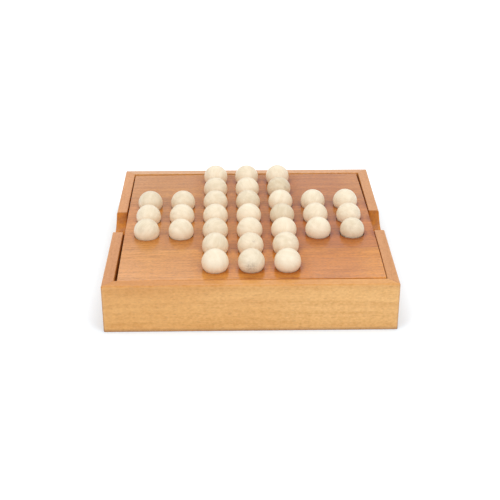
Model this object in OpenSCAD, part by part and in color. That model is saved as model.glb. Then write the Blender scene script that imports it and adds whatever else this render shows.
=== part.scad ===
// Ball solitaire set: a square wooden box with mitred walls, a loose playing board that lies in it
// as its lid, and thirty-three wooden balls that sit in dimples in the board. The balls store in
// the tray under the board. Millimetres, +Z up, +Y to the back, origin under the middle of the box.

/* [Balls and dimples] */
// Diameter of a ball
ball_d = 14.5; // [10:0.1:17]
// Distance from one dimple to the next
pitch = 19.25; // [18:0.25:26]
// Depth of the middle dimple under the board's face; all dimples end at one level
dimple_depth = 4.8; // [2.5:0.1:5]
// How much larger the dimple's cutting radius is than the ball's radius
dimple_clear = 0.3; // [0.2:0.1:2]
// Air under a ball as it lies in its dimple
ball_gap = 0.1; // [0.05:0.05:0.3]

/* [Playing board] */
// Thickness of the board at its front and back edges
board_t = 7.5; // [6:0.5:12]
// Crown of its face across the grain: how much the middle stands over those two edges
crown = 1.5; // [0.2:0.1:2]
// From the outermost dimples' centres to the board's edge
board_margin = 12.5; // [10:0.25:20]
// Play between the board and the walls on each side, when the board is in the middle
board_play = 1.1; // [0.3:0.1:2]
// How far the front and back edges of its face lie under the rim
board_drop = 0.2; // [0:0.1:2]
// Easing of the board's edges
board_ease = 0.4; // [0.2:0.1:1]
// How far the loose board has slid to the right, as a share of its play
slid_right = 0.15; // [-0.8:0.05:0.8]
// How far it has slid to the front, as a share of its play
slid_front = 0.35; // [-0.8:0.05:0.8]
// How far it has turned, as a share of the play that is then left at its corners
turned = 0.75; // [-0.8:0.05:0.8]

/* [Walls] */
// Thickness of the four walls
wall_t = 6.15; // [5:0.05:10]
// Round-over of the outer top edges and of the upright corners
edge_r = 1.2; // [0.4:0.1:2]
// Easing of the inner top edges
rim_ease = 0.4; // [0.2:0.1:0.8]
// Easing of the outer bottom edges
foot_ease = 0.6; // [0.2:0.1:1.2]

/* [Finger notches] */
// Width of a notch along the rim
notch_w = 27; // [16:1:40]
// Depth of a notch under the rim
notch_depth = 6.5; // [3:0.5:8]
// Easing of the notch where it meets the wall's two faces
notch_ease = 0.5; // [0.2:0.1:1]

/* [Base panel] */
// Thickness of the base panel
base_t = 3; // [2:0.5:5]
// Height of the panel's underside above the table
base_up = 1.5; // [1:0.5:4]
// Depth of the groove that holds the panel
groove_depth = 3; // [2:0.5:4]
// Play of the panel in its groove
groove_play = 0.1; // [0.05:0.05:0.3]

/* [Tray and ledges] */
// Room over the balls when they lie stored in one layer
ball_headroom = 0.8; // [0.5:0.1:10]
// Width of the ledges that carry the board
ledge_w = 5; // [3:0.5:8]
// Height of the ledges
ledge_h = 5; // [3:0.5:8]
// Easing of the ledges' free edges
ledge_ease = 0.4; // [0.2:0.1:0.8]

/* [Hidden] */
$fn = 64;
cut_over = 1;     // how far a cutter runs past the face that it opens
arm = 1;          // the cross has one row of dimples on each side of its middle row
reach = 3;        // and reaches three dimples out from its centre

// The board's size follows from its dimples, the frame's from the board, and the height from what
// lies in the tray: base panel, stored balls, board.
board_side = 2 * reach * pitch + 2 * board_margin;
inner_side = board_side + 2 * board_play;
box_side = inner_side + 2 * wall_t;
tray_floor = base_up + base_t;
ledge_top = tray_floor + ball_d + ball_headroom;
board_top = ledge_top + board_t;
box_h = board_top + board_drop;

board_slide = [slid_right * board_play, -slid_front * board_play];
board_room = board_play - max(abs(board_slide[0]), abs(board_slide[1]));
board_turn = atan(turned * board_room / (board_side / 2));
dimple_r = ball_d / 2 + dimple_clear;
dimple_floor = crown - dimple_depth;      // measured from the front and back edges of the face
notch_r = (pow(notch_w / 2, 2) + pow(notch_depth, 2)) / (2 * notch_depth);

// Places of the cross, as steps from its centre: [to the right, to the back].
places = [for (row = [-reach:reach]) for (column = [-reach:reach])
    if (abs(row) <= arm || abs(column) <= arm) [column, row]];

// The face is crowned in flats, one for each row of dimples. They end midway between the rows and, at
// the front and the back, where the easing of the edge begins.
crown_half = board_side / 2 - board_ease;
flat_ends = concat([-crown_half], [for (row = [-reach:reach - 1]) (row + 0.5) * pitch], [crown_half]);
function crown_at(y) = crown * (1 - pow(y / crown_half, 2));

// Columns are named a to g from the left and rows 1 to 7 from the front.
function ball_name(place) = str("ball_", chr(ord("a") + reach + place[0]), reach + 1 + place[1]);

// What an easing of radius r takes off a square corner at the origin, whose sides run along +X and +Y.
module eased_off(r) {
    difference() {
        translate([-cut_over, -cut_over]) square(r + cut_over);
        translate([r, r]) circle(r);
    }
}

// A wall's section, from its outer face at x = 0 to its inner face, standing on y = 0.
module wall_section() {
    difference() {
        square([wall_t, box_h]);
        translate([0, box_h]) mirror([0, 1]) eased_off(edge_r);
        translate([wall_t, box_h]) rotate(180) eased_off(rim_ease);
        eased_off(foot_ease);
        translate([wall_t - groove_depth, base_up])
            square([groove_depth + cut_over, base_t + groove_play]);
    }
}

// A wall's outline from above: mitred at both ends, with its half of each rounded upright corner.
module wall_footprint() {
    outer = box_side / 2;
    inner = inner_side / 2;
    difference() {
        polygon([[-outer, -outer], [outer, -outer], [inner, -inner], [-inner, -inner]]);
        translate([-outer, -outer]) eased_off(edge_r);
        translate([outer, -outer]) mirror([1, 0]) eased_off(edge_r);
    }
}

// The front wall's form. The other three are the same piece, turned.
module wall_blank() {
    intersection() {
        translate([0, -box_side / 2, 0]) rotate([90, 0, 90])
            linear_extrude(box_side, center = true) wall_section();
        linear_extrude(box_h) wall_footprint();
    }
}

// The cutter of a finger notch: a large cylinder across the wall, flared at the wall's two faces.
module notch_cutter() {
    flare = notch_ease + cut_over;
    length = wall_t + 2 * cut_over;
    translate([0, -box_side / 2 - cut_over, box_h - notch_depth + notch_r]) rotate([-90, 0, 0])
        rotate_extrude($fn = 128)
            polygon([[0, 0], [notch_r + flare, 0], [notch_r, flare],
                     [notch_r, length - flare], [notch_r + flare, length], [0, length]]);
}

module plain_wall(turn) {
    color("#d99a5c") rotate(turn) wall_blank();
}

module notched_wall(turn) {
    color("#d08a5a") rotate(turn) difference() {
        wall_blank();
        notch_cutter();
    }
}

// A thin panel, let into the grooves of all four walls.
module base_panel() {
    side = inner_side + 2 * (groove_depth - groove_play);
    color("#dcb98a") translate([-side / 2, -side / 2, base_up]) cube([side, side, base_t]);
}

// A square batten along the front wall, whose upper face carries the board. Its back is glued to the
// wall, and its two free edges are eased.
module ledge(turn, length) {
    color("#c98f5e") rotate(turn)
        translate([0, -inner_side / 2, ledge_top - ledge_h]) rotate([90, 0, 90])
            linear_extrude(length, center = true) difference() {
                square([ledge_w, ledge_h]);
                translate([ledge_w, 0]) mirror([1, 0]) eased_off(ledge_ease);
                translate([ledge_w, ledge_h]) rotate(180) eased_off(ledge_ease);
            }
}

// The front and back ledges run from wall to wall, and the side ledges fit between them.
module long_ledge(turn) { ledge(turn, inner_side); }
module short_ledge(turn) { ledge(turn, inner_side - 2 * ledge_w); }

// Puts what is drawn about the middle of the board, with the edges of its face at z = 0, to where the
// loose board lies.
module on_board() {
    translate([board_slide[0], board_slide[1], board_top]) rotate(board_turn) children();
}

// The board's section across its grain: a crowned face, whose two edges are at y = 0, and eased edges.
module board_section() {
    half = board_side / 2;
    difference() {
        polygon(concat([[half, 0], [half, -board_t], [-half, -board_t], [-half, 0]],
                       [for (y = flat_ends) [y, crown_at(y)]]));
        for (side = [0, 1]) mirror([side, 0]) {
            translate([-half, 0]) mirror([0, 1]) eased_off(board_ease);
            translate([-half, -board_t]) eased_off(board_ease);
        }
    }
}

// The board's section along its grain: cut off square, and eased at the underside.
module end_section() {
    half = board_side / 2;
    difference() {
        translate([-half, -board_t]) square([board_side, board_t + crown]);
        for (side = [0, 1]) mirror([side, 0]) translate([-half, -board_t]) eased_off(board_ease);
    }
}

module playing_board() {
    color("#c07f56") on_board() difference() {
        intersection() {
            rotate([90, 0, 90]) linear_extrude(board_side, center = true) board_section();
            rotate([90, 0, 0]) linear_extrude(board_side, center = true) end_section();
        }
        for (place = places)
            translate([place[0] * pitch, place[1] * pitch, dimple_floor + dimple_r]) sphere(dimple_r);
    }
}

module ball(place) {
    color("#f2dfbf") on_board()
        translate([place[0] * pitch, place[1] * pitch, dimple_floor + ball_gap + ball_d / 2])
            sphere(d = ball_d);
}

plain_wall(0);  // front_wall
notched_wall(90);  // right_wall
plain_wall(180);  // back_wall
notched_wall(270);  // left_wall
base_panel();
long_ledge(0);  // front_ledge
short_ledge(90);  // right_ledge
long_ledge(180);  // back_ledge
short_ledge(270);  // left_ledge
playing_board();
for (place = places)
    ball(place);
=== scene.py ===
import bpy
import numpy as np
from mathutils import Matrix, Vector


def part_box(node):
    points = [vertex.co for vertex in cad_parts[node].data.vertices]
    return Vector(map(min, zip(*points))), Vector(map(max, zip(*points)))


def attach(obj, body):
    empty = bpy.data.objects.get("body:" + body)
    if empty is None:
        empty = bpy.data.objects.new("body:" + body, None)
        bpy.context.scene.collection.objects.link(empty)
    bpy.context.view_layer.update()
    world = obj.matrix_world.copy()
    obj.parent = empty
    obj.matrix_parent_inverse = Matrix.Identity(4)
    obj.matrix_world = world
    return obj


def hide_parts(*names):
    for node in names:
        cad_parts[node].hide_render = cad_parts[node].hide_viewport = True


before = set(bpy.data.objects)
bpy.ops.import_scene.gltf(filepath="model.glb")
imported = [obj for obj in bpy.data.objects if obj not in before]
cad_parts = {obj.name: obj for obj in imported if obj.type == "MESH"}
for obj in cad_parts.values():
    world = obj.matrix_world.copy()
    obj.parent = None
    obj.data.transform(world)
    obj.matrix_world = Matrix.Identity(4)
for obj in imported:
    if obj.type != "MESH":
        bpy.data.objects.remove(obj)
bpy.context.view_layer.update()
mm = 0.001
print("frame loaded:", len(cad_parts), "nodes")


def middle(node):
    low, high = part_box(node)
    return (low + high) / 2


ballNodes = sorted(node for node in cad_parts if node.startswith("ball_"))
ballRadius = (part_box("ball_d4")[1].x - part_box("ball_d4")[0].x) / 2
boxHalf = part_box("front_wall")[1].x          # the box is square
boxMm = boxHalf / mm
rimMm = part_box("front_wall")[1].z / mm
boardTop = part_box("playing_board")[1].z

# how the loose board lies, read off its middle row of seven balls
boardMiddle = middle("ball_d4")
rowOfBalls = middle("ball_g4") - middle("ball_a4")
boardTurn = float(np.arctan2(rowOfBalls.y, rowOfBalls.x))
pitchMm = rowOfBalls.length / 6 / mm


# Camera

viewpoint = dict(
    place=(-8.78, -557.26, 290.83),          # mm
    down=26.857,                             # degrees below the horizon
    right=0.992,                             # degrees towards +X
    roll=0.054,
    focalPixels=1062.2,
    framePixels=500,
    sensor=36,                               # mm
    clip=(0.01, 50),                         # m
)


def placeCamera(look):
    down, right, roll = (np.radians(look[key]) for key in ("down", "right", "roll"))
    ahead = np.array([np.sin(right) * np.cos(down), np.cos(right) * np.cos(down), -np.sin(down)])
    across = np.array([np.cos(right), -np.sin(right), 0])
    below = np.cross(ahead, across)
    level = np.cos(roll) * across + np.sin(roll) * below
    upright = np.sin(roll) * across - np.cos(roll) * below
    data = bpy.data.cameras.new("camera")
    data.sensor_width = look["sensor"]
    data.lens = look["sensor"] * look["focalPixels"] / look["framePixels"]
    data.clip_start, data.clip_end = look["clip"]
    thing = bpy.data.objects.new("camera", data)
    turn = Matrix(np.column_stack([level, upright, -ahead]).tolist()).to_4x4()
    thing.matrix_world = Matrix.Translation(Vector(look["place"]) * mm) @ turn
    bpy.context.scene.collection.objects.link(thing)
    bpy.context.scene.camera = thing


placeCamera(viewpoint)
print("camera placed")


# Shader tree helpers

def setInputs(node, inputs):
    # a socket is linked to the input, anything else is put on it as its value
    for key, value in inputs.items():
        if isinstance(value, bpy.types.NodeSocket):
            node.id_data.links.new(value, node.inputs[key])
        else:
            node.inputs[key].default_value = value


def maker(tree):
    # gives a function that adds a node with its settings and its inputs
    def make(kind, inputs=None, **settings):
        node = tree.nodes.new("ShaderNode" + kind)
        for key, value in settings.items():
            setattr(node, key, value)
        setInputs(node, inputs or {})
        return node
    return make


def calc(make, operation, *values):
    return make("Math", dict(enumerate(values)), operation=operation).outputs[0]


def lessened(make, value, mask, share):
    # the value, less that share of it where the mask is 1
    return calc(make, "MULTIPLY", value, calc(make, "MULTIPLY_ADD", mask, -share, 1.0))


def vectorCalc(make, operation, *values):
    node = make("VectorMath", dict(enumerate(values)), operation=operation)
    return node.outputs["Value" if operation in ("LENGTH", "DOT_PRODUCT") else "Vector"]


def parts(make, vector):
    return make("SeparateXYZ", {0: vector}).outputs


def blendColours(make, factor, first, second, how="MIX"):
    return make("Mix", {0: factor, 6: first, 7: second}, data_type="RGBA", blend_type=how).outputs[2]


def tinted(make, mask, skin, tint):
    return blendColours(make, mask, skin, tint, "MULTIPLY")


def eased(make, value, fromLow, fromHigh, toLow=0.0, toHigh=1.0):
    inputs = {"Value": value, "From Min": fromLow, "From Max": fromHigh,
              "To Min": toLow, "To Max": toHigh}
    return make("MapRange", inputs, interpolation_type="SMOOTHSTEP").outputs["Result"]


def cloudy(make, vector, perMm, detail=2.0, output="Fac"):
    stretched = vectorCalc(make, "MULTIPLY", vector, perMm)
    return make("TexNoise", {"Vector": stretched, "Scale": 1.0, "Detail": detail}).outputs[output]


def newGroup(name, inputs, outputs):
    group = bpy.data.node_groups.new(name, "ShaderNodeTree")
    for label, kind in inputs.items():
        group.interface.new_socket(label, in_out="INPUT", socket_type="NodeSocket" + kind)
    for label, kind in outputs.items():
        group.interface.new_socket(label, in_out="OUTPUT", socket_type="NodeSocket" + kind)
    given = group.nodes.new("NodeGroupInput").outputs
    result = group.nodes.new("NodeGroupOutput")
    return group, maker(group), given, result


def useGroup(make, group, inputs):
    return make("Group", inputs, node_tree=group).outputs


def colour(red, green, blue):
    return (red, green, blue, 1.0)


# Shared effects

timberLook = dict(
    # noise cells per mm, along the grain and across it
    wanderPerMm=(0.006, 0.02, 0.02),
    fibresPerMm=(0.025, 0.9, 0.9),
    threadsPerMm=(0.09, 3.2, 3.2),
    mottlePerMm=(0.05, 0.28, 0.28),
    specklePerMm=(0.7, 1.0, 1.0),
    poresPerMm=(0.24, 2.6, 2.6),
    wanderMm=(0.0, 14.0, 14.0),              # how far the rings wander across the grain
    ringEdge=(0.3, 0.7),                     # noise values from pale wood to dark wood
    poreEdge=(0.34, 0.16),                   # a pore's outline, as a distance in its cell
    poreless=0.55,                           # share of the cells
    threadRise=0.6,                          # against a pore's depth of 1
    poreDryness=0.5, fibreDryness=0.6,
    thirsty=colour(0.72, 0.60, 0.48),        # what end grain is multiplied by
)


def makeTimber(look):
    # sawn wood, in mm with the grain along X: rings are 1-D noise of the distance from the pith, which
    # wanders slowly along the grain; fibres are noise drawn out along it, pores are drawn-out cells
    strengths = ("Ring Width", "Rings", "Fibres", "Mottle", "Speckle", "Pores", "End Grain")
    inputs = {"Vector": "Vector", "Light": "Color", "Dark": "Color", "Pore Colour": "Color"}
    inputs.update((label, "Float") for label in strengths)
    group, make, given, result = newGroup(
        "timber", inputs, {"Color": "Color", "Height": "Float", "Dryness": "Float"})
    place = given["Vector"]
    wander = cloudy(make, place, look["wanderPerMm"], output="Color")
    wander = vectorCalc(make, "SUBTRACT", wander, (0.5, 0.5, 0.5))
    bent = vectorCalc(make, "ADD", place, vectorCalc(make, "MULTIPLY", wander, look["wanderMm"]))
    fromPith = vectorCalc(make, "LENGTH", vectorCalc(make, "MULTIPLY", bent, (0.0, 1.0, 1.0)))
    ringAt = calc(make, "DIVIDE", fromPith, given["Ring Width"])
    rings = make("TexNoise", {"W": ringAt, "Scale": 1.0, "Detail": 3.0}, noise_dimensions="1D")
    rings = eased(make, rings.outputs["Fac"], *look["ringEdge"])
    fibres = cloudy(make, bent, look["fibresPerMm"], detail=3.0)
    threads = cloudy(make, bent, look["threadsPerMm"])
    mottle = cloudy(make, place, look["mottlePerMm"], detail=3.0)
    speckle = cloudy(make, place, look["specklePerMm"], detail=3.0)
    poresAt = vectorCalc(make, "MULTIPLY", bent, look["poresPerMm"])
    cells = make("TexVoronoi", {"Vector": poresAt, "Scale": 1.0}).outputs
    picked = calc(make, "GREATER_THAN", parts(make, cells["Color"])[0], look["poreless"])
    pores = calc(make, "MULTIPLY", eased(make, cells["Distance"], *look["poreEdge"]), picked)
    pores = calc(make, "MULTIPLY", pores, given["Pores"])
    patterns = ((rings, "Rings"), (fibres, "Fibres"), (threads, "Fibres"), (mottle, "Mottle"),
                (speckle, "Speckle"))
    tone = 0.5                               # halfway from light to dark
    for pattern, strength in patterns:
        tone = calc(make, "MULTIPLY_ADD", calc(make, "SUBTRACT", pattern, 0.5), given[strength], tone)
    wood = blendColours(make, tone, given["Light"], given["Dark"])
    wood = blendColours(make, pores, wood, given["Pore Colour"])
    dryFibres = calc(make, "MULTIPLY", fibres, look["fibreDryness"])
    setInputs(result, {
        "Color": tinted(make, given["End Grain"], wood, look["thirsty"]),
        "Height": calc(make, "SUBTRACT", calc(make, "MULTIPLY", threads, look["threadRise"]), pores),
        "Dryness": calc(make, "MULTIPLY_ADD", pores, look["poreDryness"], dryFibres),
    })
    return group


rubAndHighlightLook = dict(
    fade=(1.0, 0.2),                         # shares of the rub's width
    patchPerMm=(0.35, 0.35, 0.35),
    patches=(0.3, 0.65, 0.25, 1.0),          # noise values, and how much of the rub is left there
)


def makeEdgeRubAndHighlight(look):
    # rubbed arrises of a block, which carry wear and a painted highlight: near an edge two of the three
    # distances to its faces are small, so their sum is the whole sum less the largest one; noise breaks
    # the line up
    group, make, given, result = newGroup(
        "edgeRubAndHighlight", {"Vector": "Vector", "Half Size": "Vector", "Width": "Float"}, {"Mask": "Float"})
    fromMiddle = vectorCalc(make, "ABSOLUTE", given["Vector"])
    x, y, z = parts(make, vectorCalc(make, "SUBTRACT", given["Half Size"], fromMiddle))
    largest = calc(make, "MAXIMUM", calc(make, "MAXIMUM", x, y), z)
    nearEdge = calc(make, "SUBTRACT", calc(make, "ADD", calc(make, "ADD", x, y), z), largest)
    rubAndHighlight = eased(make, calc(make, "DIVIDE", nearEdge, given["Width"]), *look["fade"])
    patchy = eased(make, cloudy(make, given["Vector"], look["patchPerMm"], detail=3.0), *look["patches"])
    setInputs(result, {"Mask": calc(make, "MULTIPLY", rubAndHighlight, patchy)})
    return group


glueLook = dict(
    fade=(1.0, 0.4),                         # shares of the line's width
    breakPerMm=(0.12, 0.12, 0.12),
    breaks=(0.3, 0.6, 0.35, 1.0),            # noise values, and how much of the line is left there
)


def makeGlueLine(look):
    # a glued joint shows as a hairline: 1 where the distance to it is under the width, broken by noise
    group, make, given, result = newGroup(
        "glueLine", {"Vector": "Vector", "Distance": "Float", "Width": "Float"}, {"Mask": "Float"})
    away = calc(make, "DIVIDE", calc(make, "ABSOLUTE", given["Distance"]), given["Width"])
    line = eased(make, away, *look["fade"])
    broken = eased(make, cloudy(make, given["Vector"], look["breakPerMm"]), *look["breaks"])
    setInputs(result, {"Mask": calc(make, "MULTIPLY", line, broken)})
    return group


timber = makeTimber(timberLook)
edgeRubAndHighlight = makeEdgeRubAndHighlight(rubAndHighlightLook)
glueLine = makeGlueLine(glueLook)
print("shared effects ready")


# What every wooden piece uses

def newMaterial(name):
    material = bpy.data.materials.new(name)
    material.use_nodes = True
    tree = material.node_tree
    tree.nodes.clear()
    make = maker(tree)
    shader = make("BsdfPrincipled")
    make("OutputMaterial", {"Surface": shader.outputs["BSDF"]})
    return material, make, shader


def dressNode(node, material):
    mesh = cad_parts[node].data
    mesh.materials.clear()
    mesh.materials.append(material)


def endGrain(make, normal, axis, low, high):
    # 1 where the face looks along the grain, which runs along X for axis 0 and along Y for axis 1
    along = [(1, 0, 0), (0, 1, 0)][axis]
    return eased(make, calc(make, "ABSOLUTE", vectorCalc(make, "DOT_PRODUCT", normal, along)), low, high)


def sawnWood(make, look, grainAt, ends=0.0):
    return useGroup(make, timber, {
        "Vector": grainAt, "Light": look["light"], "Dark": look["dark"], "Pore Colour": look["pore"],
        "Ring Width": look["ringWidth"], "Rings": look["rings"], "Fibres": look["fibres"],
        "Mottle": look["mottle"], "Speckle": look["speckle"], "Pores": look["pores"], "End Grain": ends})


def woodRoughness(make, look, wood):
    return calc(make, "MULTIPLY_ADD", wood["Dryness"], look["dryness"], look["roughness"])


def relief(make, look, height):
    strength, depthMm = look["relief"]
    inputs = {"Height": height, "Strength": strength, "Distance": depthMm * mm}
    return make("Bump", inputs).outputs["Normal"]


# Walls: varnished reddish wood, mitred

wallLook = dict(
    light=colour(0.91, 0.475, 0.145), dark=colour(0.70, 0.320, 0.076), pore=colour(0.40, 0.17, 0.05),
    ringWidth=4.2, rings=0.32, fibres=0.60, mottle=0.25, speckle=1.5, pores=0.40,
    endEdge=(0.15, 0.9),                     # how far a face has turned to the grain's end
    roughness=0.44, dryness=0.22,            # of the smoothest wood, and what dry wood adds
    relief=(0.35, 0.12),                     # strength, and depth in mm
    varnish=0.9, gloss=0.20,                 # weight and roughness of the clear coat
    joint=colour(0.26, 0.10, 0.04),          # the mitres' glue lines
    jointWidth=0.22, jointInk=0.5, jointDepth=2.0,
    rubbedAndHighlit=colour(0.90, 0.54, 0.26),         # the outer edges, worn and with a painted highlight
    rubAndHighlightWidth=1.6, rubBare=0.3,               # mm, and share of the varnish rubbed off there
    # how a board goes over from its first end's tint to its last end's
    driftSlope=0.4, driftPerMm=(0.02, 0.05, 0.05), driftEdge=(0.1, 0.9),
    upperFrom=(14.0, 22.0),                  # mm, heights between which a board's upper tint begins
    upperFade=(0.9, 0.3),                    # and it fades towards the board's last end
    rimFacing=(0.1, 0.9),                    # how far a face looks up where the rim's painted sheen and shade begins
    rimBand=(4.0, 0.8), rimBandTint=0.14,    # mm under the rim, and share of that painted tint on the faces there
    footShadow=colour(0.60, 0.56, 0.62),         # what the foot of the walls is multiplied by, a painted contact shadow
    footShadowFrom=(2.6, 0.3),                   # mm, heights
    innerHalf=71.45,                         # mm, from the box's middle to just past the inner faces
    underRim=(0.1, 0.5),                     # mm, where inner faces and notches begin
    notched=("left_wall", "right_wall"),
    notchReach=14.0,                         # mm, from the wall's middle to a notch's end
    notchFacing=(0.2, 0.5),                  # how far a notch's face looks up
    notchBare=0.8,                           # share of the varnish that a notch goes without
    sawn=colour(1.04, 0.90, 0.50),           # what a notch's cut wood is multiplied by, in streaks
    sawnDull=colour(0.86, 0.76, 0.68),
    sawnPerMm=(0.30, 0.22, 0.22), sawnEdge=(0.38, 0.62),
    # turn of the grain in degrees, place of the pith in mm, tints at the board's two ends, the painted
    # sheen and shade of its rim, the tint of its upper part, wear and painted highlight of its edges
    boards={
        "front_wall": dict(
            turn=0, pith=(310, 128, -66),
            first=colour(0.99, 1.01, 1.08), last=colour(1.04, 1.13, 1.36),
            rim=colour(0.89, 0.75, 0.53), upper=colour(0.94, 0.89, 0.83), wearAndHighlight=0.26),
        "back_wall": dict(
            turn=0, pith=(-240, -170, 48),
            first=colour(1.00, 1.04, 1.10), last=colour(1.02, 0.98, 0.96),
            rim=colour(0.90, 0.95, 1.62), upper=colour(1, 1, 1), wearAndHighlight=0.10),
        "left_wall": dict(
            turn=-90, pith=(95, 160, 40),
            first=colour(0.98, 0.95, 0.98), last=colour(1.10, 1.13, 1.28),
            rim=colour(0.81, 0.71, 0.80), upper=colour(1, 1, 1), wearAndHighlight=0.10),
        "right_wall": dict(
            turn=-90, pith=(-430, -140, 55),
            first=colour(0.99, 0.97, 0.98), last=colour(1.03, 1.05, 1.24),
            rim=colour(0.815, 0.725, 0.78), upper=colour(1, 1, 1), wearAndHighlight=0.10),
    },
)


def dressWall(node, look):
    board = look["boards"][node]
    axis = 0 if board["turn"] == 0 else 1    # the wall runs along X or along Y
    material, make, shader = newMaterial(node + "_wood")
    coords = make("TexCoord").outputs
    inMm = make("VectorMath", {0: coords["Object"], "Scale": 1 / mm}, operation="SCALE").outputs["Vector"]
    turn = (0, 0, np.radians(board["turn"]))
    grainAt = make("Mapping", {"Vector": inMm, "Location": board["pith"], "Rotation": turn}).outputs[0]
    wood = sawnWood(make, look, grainAt, endGrain(make, coords["Normal"], axis, *look["endEdge"]))
    x, y, z = parts(make, vectorCalc(make, "ABSOLUTE", inMm))
    facing = parts(make, coords["Normal"])[2]

    # the two ends' tints, the upper part's, and the rim's painted sheen and shade
    lengthwise = parts(make, inMm)[axis]
    clouds = cloudy(make, grainAt, look["driftPerMm"])
    drift = calc(make, "MULTIPLY_ADD", lengthwise, look["driftSlope"] / boxMm, clouds)
    toLast = eased(make, drift, *look["driftEdge"])
    skin = tinted(make, 1.0, wood["Color"], blendColours(make, toLast, board["first"], board["last"]))
    fade = eased(make, toLast, *look["upperFade"])
    upper = calc(make, "MULTIPLY", eased(make, z, *look["upperFrom"]), fade)
    skin = tinted(make, upper, skin, board["upper"])
    bandFoot, bandTop = (rimMm - under for under in look["rimBand"])
    nearRim = eased(make, z, bandFoot, bandTop, 0.0, look["rimBandTint"])
    rimLightMask = calc(make, "MAXIMUM", eased(make, facing, *look["rimFacing"]), nearRim)
    # painted sheen and shade on the up-facing rim and the band just under it
    skin = tinted(make, rimLightMask, skin, board["rim"])

    # rubbed edges with a painted highlight, mitres and a painted contact shadow at the foot
    fromMiddle = vectorCalc(make, "SUBTRACT", inMm, (0, 0, rimMm / 2))
    halfSize = (boxMm, boxMm, rimMm / 2)
    edges = {"Vector": fromMiddle, "Half Size": halfSize, "Width": look["rubAndHighlightWidth"]}
    rubAndHighlight = useGroup(make, edgeRubAndHighlight, edges)["Mask"]
    # the edges' colour is partly wear and partly a painted highlight
    skin = blendColours(make, calc(make, "MULTIPLY", rubAndHighlight, board["wearAndHighlight"]), skin, look["rubbedAndHighlit"])
    joints = {"Vector": inMm, "Distance": calc(make, "SUBTRACT", x, y), "Width": look["jointWidth"]}
    mitre = useGroup(make, glueLine, joints)["Mask"]
    skin = blendColours(make, calc(make, "MULTIPLY", mitre, look["jointInk"]), skin, look["joint"])
    # painted contact shadow along the foot of the walls
    skin = tinted(make, eased(make, z, *look["footShadowFrom"]), skin, look["footShadow"])

    # the inner faces, under the rim, are left without varnish
    coat = lessened(make, look["varnish"], rubAndHighlight, look["rubBare"])
    underRim = eased(make, z, *(rimMm - under for under in look["underRim"]))
    inward = calc(make, "LESS_THAN", calc(make, "MAXIMUM", x, y), look["innerHalf"])
    coat = lessened(make, coat, calc(make, "MULTIPLY", inward, underRim), 1.0)
    if node in look["notched"]:
        # a notch's cut face lies under the rim near the middle of the wall, and looks up
        cut = calc(make, "MULTIPLY", underRim, eased(make, facing, *look["notchFacing"]))
        cut = calc(make, "MULTIPLY", cut, calc(make, "LESS_THAN", y, look["notchReach"]))
        streak = eased(make, cloudy(make, inMm, look["sawnPerMm"], detail=3.0), *look["sawnEdge"])
        skin = tinted(make, cut, skin, blendColours(make, streak, look["sawn"], look["sawnDull"]))
        coat = lessened(make, coat, cut, look["notchBare"])

    height = calc(make, "SUBTRACT", wood["Height"], calc(make, "MULTIPLY", mitre, look["jointDepth"]))
    setInputs(shader, {
        "Base Color": skin,
        "Roughness": woodRoughness(make, look, wood),
        "Specular IOR Level": 0.0,           # the coat alone shines
        "Coat Weight": coat,
        "Coat Roughness": look["gloss"],
        "Normal": relief(make, look, height),
    })
    dressNode(node, material)


for wall in wallLook["boards"]:
    dressWall(wall, wallLook)
print("walls dressed")


# Playing board: four staves glued edge to edge, dimples turned into its face

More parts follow.
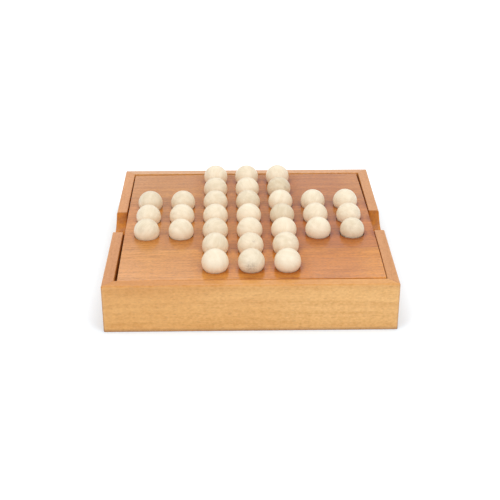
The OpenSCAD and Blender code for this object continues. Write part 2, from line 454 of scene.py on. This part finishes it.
boardLook = dict(
    light=colour(0.675, 0.272, 0.052), dark=colour(0.460, 0.162, 0.022), pore=colour(0.27, 0.10, 0.03),
    ringWidth=3.4, rings=0.22, fibres=1.6, mottle=0.80, speckle=1.6, pores=0.60,
    endEdge=(0.3, 0.95),                     # how far a face has turned to the grain's end
    roughness=0.44, dryness=0.22,            # of the smoothest wood, and what dry wood adds
    relief=(0.35, 0.12),                     # strength, and depth in mm
    varnish=0.95, gloss=0.16, clarity=1.6,   # weight, roughness and IOR of the clear coat
    dulledByDryness=0.25,                    # share of it lost on dry wood
    dulledAmong=0.27, amongFrom=(38.0, 26.0),    # and among the middle columns, mm from their middle
    # staves
    firstSeam=-37.0, staveWidth=35.0,        # mm, from the board's middle
    staveShift=(173.0, 88.0, 23.0),          # mm of grain from one stave to the next
    pith=(500.0, 40.0, 62.0),                # mm, for the second stave
    depthOfTone=(0.32, 0.66, 0.88, 0.68),    # how deep each stave's colour is, front to back
    pale=colour(1.12, 1.14, 1.15), deep=colour(0.77, 0.66, 0.54),
    glue=colour(0.20, 0.085, 0.04),
    seamWidth=0.16, seamInk=0.6, seamDepth=1.5, seamsWithin=60.0,    # mm from the board's middle
    # what the board is multiplied by: in blotches
    warm=colour(1.03, 1.02, 1.00), cool=colour(0.97, 0.96, 0.96),
    blotchPerMm=(0.07, 0.20, 0.20), blotchEdge=(0.32, 0.68),
    # towards its left and right, where the second stave and the front one have tints of their own
    left=colour(1.14, 1.27, 1.45), right=colour(0.97, 0.86, 0.75),
    midRight=colour(0.91, 0.72, 0.50), frontRight=colour(1.00, 0.87, 0.44),
    driftSlope=0.006, driftPerMm=(0.012, 0.03, 0.03), driftEdge=(0.05, 0.85),
    # at its two ends, which rub on the side walls, mm from its middle
    leftEnd=colour(1.05, 1.08, 1.45), leftEndFrom=(-55.0, -67.0),
    rightEnd=colour(1.13, 1.26, 1.60), rightEndFrom=(53.0, 66.0),
    # at the finger notches, where it is lifted, mm along and across the grain
    lifted=colour(1.15, 1.13, 1.15), liftedFrom=(60.0, 68.0), liftedWithin=(36.0, 16.0),
    # round each dimple, a painted shade cast by its ball, mm past the dimple's edge
    ballShade=colour(0.89, 0.85, 0.82), ballShadeRight=colour(0.60, 0.46, 0.41), ballShadeFrom=(4.0, -0.3),
    # and in the dimples
    bare=colour(0.80, 0.66, 0.52),
    crown=1.5, crownHalf=69.85,              # mm, of the board's face
    dimpleHalf=6.7,                          # mm, from a dimple's centre to its edge
    dimpleFrom=(-0.12, -0.35),               # mm, against the crowned face
    dimpleRough=0.18,                        # what their cut wood adds to the roughness
    toolMarks=0.25, toolPitch=0.45,          # height, and mm from one to the next
    upFrom=0.25,                             # faces that look up at least so much are varnished
)


def staveTint(make, look, stave):
    # a ramp with one step for each stave, from number -1 on
    count = len(look["depthOfTone"])
    tones = make("ValToRGB", {"Fac": calc(make, "MULTIPLY_ADD", stave, 1 / count, 1.5 / count)})
    tones.color_ramp.interpolation = "CONSTANT"
    stops = tones.color_ramp.elements
    while len(stops) < count:
        stops.new(0.5)
    for index, depth in enumerate(look["depthOfTone"]):
        stops[index].position = index / count
        stops[index].color = colour(depth, depth, depth)
    return blendColours(make, tones.outputs["Color"], look["pale"], look["deep"])


def toDimple(make, x, y):
    # mm to the nearest place of a square grid: each coordinate folds back at half the pitch
    folded = [calc(make, "PINGPONG", calc(make, "DIVIDE", v, pitchMm), 0.5) for v in (x, y)]
    away = vectorCalc(make, "LENGTH", make("CombineXYZ", dict(enumerate(folded))).outputs[0])
    return calc(make, "MULTIPLY", away, pitchMm)


def dressBoard(node, look):
    material, make, shader = newMaterial(node + "_wood")
    coords = make("TexCoord").outputs
    centred = vectorCalc(make, "SUBTRACT", coords["Object"], (boardMiddle.x, boardMiddle.y, boardTop))
    turned = {"Vector": centred, "Rotation": (0, 0, -boardTurn), "Scale": (1 / mm,) * 3}
    boardAt = make("Mapping", turned).outputs[0]
    x, y, z = parts(make, boardAt)
    outAlong, outAcross = (calc(make, "ABSOLUTE", v) for v in (x, y))     # from the board's middle
    facing = parts(make, coords["Normal"])[2]
    upward = calc(make, "GREATER_THAN", facing, look["upFrom"])

    # staves, of which the front one has number -1
    across = calc(make, "DIVIDE", calc(make, "SUBTRACT", y, look["firstSeam"]), look["staveWidth"])
    stave = calc(make, "FLOOR", across)
    shifts = [calc(make, "MULTIPLY", stave, shift) for shift in look["staveShift"]]
    shifted = vectorCalc(make, "ADD", boardAt, make("CombineXYZ", dict(enumerate(shifts))).outputs[0])
    grainAt = vectorCalc(make, "ADD", shifted, look["pith"])
    wood = sawnWood(make, look, grainAt, endGrain(make, coords["Normal"], 0, *look["endEdge"]))
    skin = tinted(make, 1.0, wood["Color"], staveTint(make, look, stave))

    # blotches, and the tints of its left and right, of its ends and of the places by the notches
    blotch = eased(make, cloudy(make, grainAt, look["blotchPerMm"], detail=3.0), *look["blotchEdge"])
    skin = tinted(make, 1.0, skin, blendColours(make, blotch, look["warm"], look["cool"]))
    drift = calc(make, "MULTIPLY_ADD", x, look["driftSlope"], cloudy(make, grainAt, look["driftPerMm"]))
    toRight = eased(make, drift, *look["driftEdge"])
    right = blendColours(make, calc(make, "LESS_THAN", stave, 0.5), look["right"], look["midRight"])
    right = blendColours(make, calc(make, "LESS_THAN", stave, -0.5), right, look["frontRight"])
    skin = tinted(make, 1.0, skin, blendColours(make, toRight, look["left"], right))
    for end in ("leftEnd", "rightEnd"):
        skin = tinted(make, eased(make, x, *look[end + "From"]), skin, look[end])
    byNotch = eased(make, outAcross, *look["liftedWithin"])
    lifted = calc(make, "MULTIPLY", eased(make, outAlong, *look["liftedFrom"]), byNotch)
    skin = tinted(make, lifted, skin, look["lifted"])

    # seams
    offSeam = calc(make, "SUBTRACT", across, calc(make, "ROUND", across))
    toSeam = calc(make, "MULTIPLY", offSeam, look["staveWidth"])
    lines = {"Vector": boardAt, "Distance": toSeam, "Width": look["seamWidth"]}
    seam = useGroup(make, glueLine, lines)["Mask"]
    seam = calc(make, "MULTIPLY", seam, calc(make, "LESS_THAN", outAcross, look["seamsWithin"]))
    skin = blendColours(make, calc(make, "MULTIPLY", seam, look["seamInk"]), skin, look["glue"])

    # a dimple lies under the crowned face, which is a parabola of y, and still looks up
    fallAway = calc(make, "POWER", calc(make, "DIVIDE", outAcross, look["crownHalf"]), 2.0)
    underFace = calc(make, "MULTIPLY_ADD", fallAway, look["crown"], z)
    dimple = calc(make, "MULTIPLY", eased(make, underFace, *look["dimpleFrom"]), upward)
    skin = tinted(make, dimple, skin, look["bare"])
    outFrom = toDimple(make, x, y)
    arms = (calc(make, "LESS_THAN", v, 1.5 * pitchMm) for v in (outAlong, outAcross))
    inCross = calc(make, "MAXIMUM", *arms)
    # painted shade of the balls on the board round each dimple, darker towards the right
    reach = (look["dimpleHalf"] + past for past in look["ballShadeFrom"])
    ballShadeMask = calc(make, "MULTIPLY", inCross, eased(make, outFrom, *reach))
    ballShadeMask = calc(make, "MULTIPLY", ballShadeMask, upward)
    skin = tinted(make, ballShadeMask, skin, blendColours(make, toRight, look["ballShade"], look["ballShadeRight"]))

    # no varnish in the dimples and on the sides, less of it on dry wood and among the balls
    dulled = calc(make, "MAXIMUM", dimple, calc(make, "LESS_THAN", facing, look["upFrom"]))
    dry = calc(make, "MULTIPLY", wood["Dryness"], look["dulledByDryness"])
    dulled = calc(make, "MAXIMUM", dulled, dry)
    among = eased(make, outAlong, *look["amongFrom"], 0.0, look["dulledAmong"])
    dulled = calc(make, "MAXIMUM", dulled, among)

    rings = calc(make, "SINE", calc(make, "MULTIPLY", outFrom, 2 * np.pi / look["toolPitch"]))
    marks = calc(make, "MULTIPLY", rings, calc(make, "MULTIPLY", dimple, look["toolMarks"]))
    height = calc(make, "SUBTRACT", wood["Height"], calc(make, "MULTIPLY", seam, look["seamDepth"]))
    rough = woodRoughness(make, look, wood)
    setInputs(shader, {
        "Base Color": skin,
        "Roughness": calc(make, "MULTIPLY_ADD", dimple, look["dimpleRough"], rough),
        "Specular IOR Level": 0.0,           # the coat alone shines
        "Coat Weight": lessened(make, look["varnish"], dulled, 1.0),
        "Coat Roughness": look["gloss"],
        "Coat IOR": look["clarity"],
        "Normal": relief(make, look, calc(make, "ADD", height, marks)),
    })
    dressNode(node, material)


dressBoard("playing_board", boardLook)
print("board dressed")


# Base panel and ledges, inside the box: plain wood

baseLook = dict(
    light=colour(0.74, 0.52, 0.30), dark=colour(0.60, 0.39, 0.20), pore=colour(0.40, 0.24, 0.12),
    ringWidth=11.0, rings=0.85, fibres=0.40, mottle=0.30, speckle=0.30, pores=0.35,
    endEdge=(0.3, 0.95), roughness=0.52, dryness=0.2, relief=(0.45, 0.15),
)
ledgeLook = dict(
    light=colour(0.72, 0.42, 0.20), dark=colour(0.55, 0.29, 0.12), pore=colour(0.34, 0.16, 0.07),
    ringWidth=3.6, rings=0.45, fibres=0.60, mottle=0.35, speckle=0.30, pores=0.45,
    endEdge=(0.3, 0.95), roughness=0.50, dryness=0.2, relief=(0.45, 0.15),
)


def dressPlain(nodes, name, look, turn, pith):
    material, make, shader = newMaterial(name)
    coords = make("TexCoord").outputs
    turned = {"Vector": coords["Object"], "Location": pith, "Rotation": (0, 0, np.radians(turn)),
              "Scale": (1 / mm,) * 3}
    axis = 0 if turn == 0 else 1
    ends = endGrain(make, coords["Normal"], axis, *look["endEdge"])
    wood = sawnWood(make, look, make("Mapping", turned).outputs[0], ends)
    setInputs(shader, {
        "Base Color": wood["Color"],
        "Roughness": woodRoughness(make, look, wood),
        "Normal": relief(make, look, wood["Height"]),
    })
    for node in nodes:
        dressNode(node, material)


dressPlain(["base_panel"], "base_plywood", baseLook, 0, (0, 35, 8))
dressPlain(["front_ledge", "back_ledge"], "long_ledge_wood", ledgeLook, 0, (70, 45, -40))
dressPlain(["left_ledge", "right_ledge"], "side_ledge_wood", ledgeLook, -90, (-160, 60, -30))
print("inside dressed")


# Balls: turned from pale wood, tumbled smooth, no two quite alike

ballLook = dict(
    light=colour(0.98, 0.87, 0.675), dark=colour(0.91, 0.775, 0.575), pore=colour(0.70, 0.55, 0.37),
    ringWidth=1.8, rings=0.50, fibres=0.60, mottle=0.35, speckle=0.80, pores=0.30,
    roughness=0.34, dryness=0.18,            # of the smoothest wood, and what dry wood adds
    relief=(0.25, 0.06),                     # strength, and depth in mm
    grey=colour(0.80, 0.77, 0.71),           # what the greyer balls and streaks are multiplied by
    streaks=0.5, streaksFrom=0.45, streakPerMm=(0.10, 0.42, 0.42), streakEdge=(0.3, 0.7),
    knot=colour(0.36, 0.27, 0.20),
    knotPerMm=(0.25, 1.4, 1.4),
    knotEdge=(0.35, 0.6, 0.25, 1.0),         # noise values, and how much of the knot shows there
    across=80, down=40,                      # cells round a ball, and from pole to pole
    shrink=0.002, flat=0.993,                # shares of the radius
    oval=0.005, ovalSpread=(0.3, 1),
    dents=3, dentDepth=(0.002, 0.006), dentWidth=(0.15, 0.35),    # shares of the radius, and radians
    sink=0.12,                               # mm, until the ball touches its dimple
    size=0.987,                              # share of the full radius, for most balls
    sizes={"ball_c1": 0.999, "ball_c2": 0.999, "ball_e2": 0.999, "ball_d3": 0.999, "ball_c7": 0.998,
           "ball_a4": 0.976, "ball_b3": 0.970, "ball_e4": 0.977, "ball_g3": 0.940, "ball_g4": 0.970},
    grainSpread=300,                         # mm, within which each ball's grain begins
    greySpread=(0, 0.18),                    # for the balls that are not named here
    greyer={"ball_c6": 0.40, "ball_e6": 0.85, "ball_e4": 0.75, "ball_g3": 0.45, "ball_d1": 0.35,
            "ball_d5": 0.6, "ball_c2": 0.35, "ball_d2": 0.25, "ball_f5": 0.2, "ball_a3": 0.35,
            "ball_a5": 0.6, "ball_b5": 0.4, "ball_c5": 0.35, "ball_c3": 0.4, "ball_e2": 0.3,
            "ball_c7": 0.1, "ball_d7": 0.15, "ball_e7": 0.0, "ball_c1": -0.25, "ball_e1": -0.2,
            "ball_e3": -0.2, "ball_f3": -0.05, "ball_e5": -0.1, "ball_d4": -0.1},
    # knots and grey marks: direction from the ball's middle, width in radians, depth of colour
    knots={"ball_d2": ((0.23, -0.67, 0.70), 0.12, 0.6), "ball_d1": ((-0.06, -1.00, 0.00), 0.42, 0.62),
           "ball_g3": ((-0.2, -0.85, 0.5), 0.16, 0.25), "ball_a3": ((-0.3, -0.8, 0.5), 0.2, 0.25),
           "ball_e6": ((0.5, -0.7, 0.45), 0.12, 0.4)},
    noKnot=((0, 0, -1), 0.1, 0.0),
    seed=33,
)


def apart(directions, spot):
    # angle in radians between each direction and the spot's
    return np.arccos(np.clip(directions @ (spot / np.linalg.norm(spot)), -1, 1))


def turnedBall(radius, look, dice):
    # directions on a polar grid about the lathe's axis; the radius is a sphere's, less a slow oval round
    # the axis and a few shallow dents, and cut off flat where the ball was parted at its poles
    polar = np.linspace(0, np.pi, look["down"] + 1)[1:-1, None]
    spin = np.linspace(0, 2 * np.pi, look["across"], endpoint=False)[None, :]
    grid = np.stack([np.sin(polar) * np.cos(spin), np.sin(polar) * np.sin(spin),
                     np.cos(polar) + 0 * spin], -1).reshape(-1, 3)
    unit = np.vstack([[0, 0, 1], grid, [0, 0, -1]])
    oval = 0.5 * (unit[:, 0] ** 2 - unit[:, 1] ** 2 + 1)
    swell = 1 - look["shrink"] - look["oval"] * oval * dice.uniform(*look["ovalSpread"])
    for _ in range(look["dents"]):
        away = apart(unit, dice.normal(size=3))
        depth = dice.uniform(*look["dentDepth"])
        swell -= depth * np.exp(-(away / dice.uniform(*look["dentWidth"])) ** 2)
    swell = np.minimum(swell, look["flat"] / np.maximum(np.abs(unit[:, 2]), 0.5))
    cells, rows = look["across"], look["down"] - 1
    first = 1 + np.arange(cells)
    after = 1 + (np.arange(cells) + 1) % cells
    ring = (np.arange(rows - 1) * cells)[:, None]
    quads = np.stack([first + ring, first + ring + cells, after + ring + cells, after + ring], -1)
    topCap = np.stack([0 * first, first, after], -1)
    last = (rows - 1) * cells
    footCap = np.stack([0 * first + len(unit) - 1, after + last, first + last], -1)
    faces = topCap.tolist() + quads.reshape(-1, 4).tolist() + footCap.tolist()
    return unit, unit * swell[:, None] * radius, faces


def makeBallMaterial(look):
    material, make, shader = newMaterial("ball_wood")
    grainAt = make("Attribute", attribute_name="grainAt").outputs["Vector"]
    grey = make("Attribute", attribute_name="greyness").outputs["Fac"]
    knot = make("Attribute", attribute_name="knot").outputs["Fac"]
    wood = sawnWood(make, look, grainAt)
    streak = eased(make, cloudy(make, grainAt, look["streakPerMm"], detail=3.0), *look["streakEdge"])
    streak = calc(make, "SUBTRACT", streak, look["streaksFrom"])
    grey = calc(make, "MAXIMUM", calc(make, "MULTIPLY_ADD", streak, look["streaks"], grey), 0.0)
    skin = tinted(make, grey, wood["Color"], look["grey"])
    streaky = eased(make, cloudy(make, grainAt, look["knotPerMm"]), *look["knotEdge"])
    skin = blendColours(make, calc(make, "MULTIPLY", knot, streaky), skin, look["knot"])
    setInputs(shader, {
        "Base Color": skin,
        "Roughness": woodRoughness(make, look, wood),
        "Normal": relief(make, look, wood["Height"]),
    })
    return material


def addValues(mesh, name, values):
    # one number or one vector for each point of the mesh
    kind, field = ("FLOAT", "value") if values.ndim == 1 else ("FLOAT_VECTOR", "vector")
    mesh.attributes.new(name, kind, "POINT").data.foreach_set(field, values.ravel())


def makeBalls(look):
    material = makeBallMaterial(look)
    dice = np.random.default_rng(look["seed"])
    for node in ballNodes:
        size = look["sizes"].get(node, look["size"])
        unit, points, faces = turnedBall(ballRadius * size, look, dice)
        turn, _ = np.linalg.qr(dice.normal(size=(3, 3)))
        turn *= np.sign(np.linalg.det(turn))
        centre = np.array(middle(node)) - [0, 0, look["sink"] * mm + ballRadius * (1 - size)]
        mesh = bpy.data.meshes.new(node + "_turned")
        mesh.from_pydata((points @ turn.T + centre).tolist(), [], faces)
        mesh.polygons.foreach_set("use_smooth", np.ones(len(faces), bool))
        begin = dice.uniform(-look["grainSpread"], look["grainSpread"], 3)
        addValues(mesh, "grainAt", points / mm + begin)
        tone = look["greyer"].get(node, dice.uniform(*look["greySpread"]))
        addValues(mesh, "greyness", np.full(len(unit), tone))
        spot, width, depth = look["knots"].get(node, look["noKnot"])
        addValues(mesh, "knot", depth * np.exp(-(apart(unit @ turn.T, np.array(spot)) / width) ** 2))
        mesh.materials.append(material)
        mesh.update()
        ball = bpy.data.objects.new(node + "_turned", mesh)
        bpy.context.scene.collection.objects.link(ball)
        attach(ball, node)
        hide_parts(node)
    print("balls turned:", len(ballNodes))


makeBalls(ballLook)


# Floor, background and light

stageLook = dict(                            # lengths in m
    floorHalf=6.0,
    floorColour=colour(0.705, 0.78, 0.85),
    floorRoughness=0.9,
    floorGlow=(0.23, 0.60),                  # as seen directly, at the box's foot and farther out
    glowReach=0.027,                         # from the box
    frontGlow=0.12,                          # what is added in front of the box
    frontGlowFrom=(0.008, -0.010),           # against the box's front face
    ambient=0.66,
    aim=(0, 0, 0.02),                        # what the lamps look at
    lamps=(                                  # name, place, side, watts
        ("overhead", (0.03, 0.864, 0.966), 0.54, 2.2),
        ("leftFill", (-0.95, -0.95, 1.15), 0.8, 7.2),
        ("rightFill", (0.95, -0.95, 1.15), 0.8, 7.2),
    ),
)


def seenDirectly(make):
    # 1 for camera rays and for what gloss and glass reflect or let through
    path = make("LightPath").outputs
    shiny = calc(make, "MAXIMUM", path["Is Glossy Ray"], path["Is Transmission Ray"])
    return calc(make, "MAXIMUM", path["Is Camera Ray"], shiny)


def layFloor(look):
    half = look["floorHalf"]
    corners = [(-half, -half, 0), (half, -half, 0), (half, half, 0), (-half, half, 0)]
    mesh = bpy.data.meshes.new("floor")
    mesh.from_pydata(corners, [], [(0, 1, 2, 3)])
    floor = bpy.data.objects.new("floor", mesh)
    bpy.context.scene.collection.objects.link(floor)
    material, make, shader = newMaterial("floor_paint")
    floorAt = make("TexCoord").outputs["Object"]
    outside = vectorCalc(make, "SUBTRACT", vectorCalc(make, "ABSOLUTE", floorAt), (boxHalf, boxHalf, 0))
    toBox = vectorCalc(make, "LENGTH", vectorCalc(make, "MAXIMUM", outside, (0, 0, 0)))
    glow = eased(make, toBox, 0.0, look["glowReach"], *look["floorGlow"])
    front = (past - boxHalf for past in look["frontGlowFrom"])
    inFront = eased(make, parts(make, floorAt)[1], *front, 0.0, look["frontGlow"])
    glow = calc(make, "MULTIPLY", seenDirectly(make), calc(make, "ADD", glow, inFront))
    setInputs(shader, {
        "Base Color": look["floorColour"],
        "Roughness": look["floorRoughness"],
        "Specular IOR Level": 0.0,
        "Emission Color": glow,
        "Emission Strength": 1.0,
    })
    mesh.materials.append(material)


def lightStudio(look):
    world = bpy.data.worlds.new("studio")
    world.use_nodes = True
    world.node_tree.nodes.clear()
    make = maker(world.node_tree)
    strength = calc(make, "MULTIPLY_ADD", seenDirectly(make), 1.0 - look["ambient"], look["ambient"])
    sky = make("Background", {"Color": colour(1, 1, 1), "Strength": strength})
    make("OutputWorld", {"Surface": sky.outputs[0]})
    bpy.context.scene.world = world
    for name, place, side, watts in look["lamps"]:
        data = bpy.data.lights.new(name, "AREA")
        data.shape = "SQUARE"
        data.size = side
        data.energy = watts
        lamp = bpy.data.objects.new(name, data)
        lamp.location = place
        lamp.rotation_euler = (Vector(look["aim"]) - lamp.location).to_track_quat("-Z", "Y").to_euler()
        bpy.context.scene.collection.objects.link(lamp)


layFloor(stageLook)
lightStudio(stageLook)
bpy.context.scene.view_settings.view_transform = "Standard"
print("stage set")
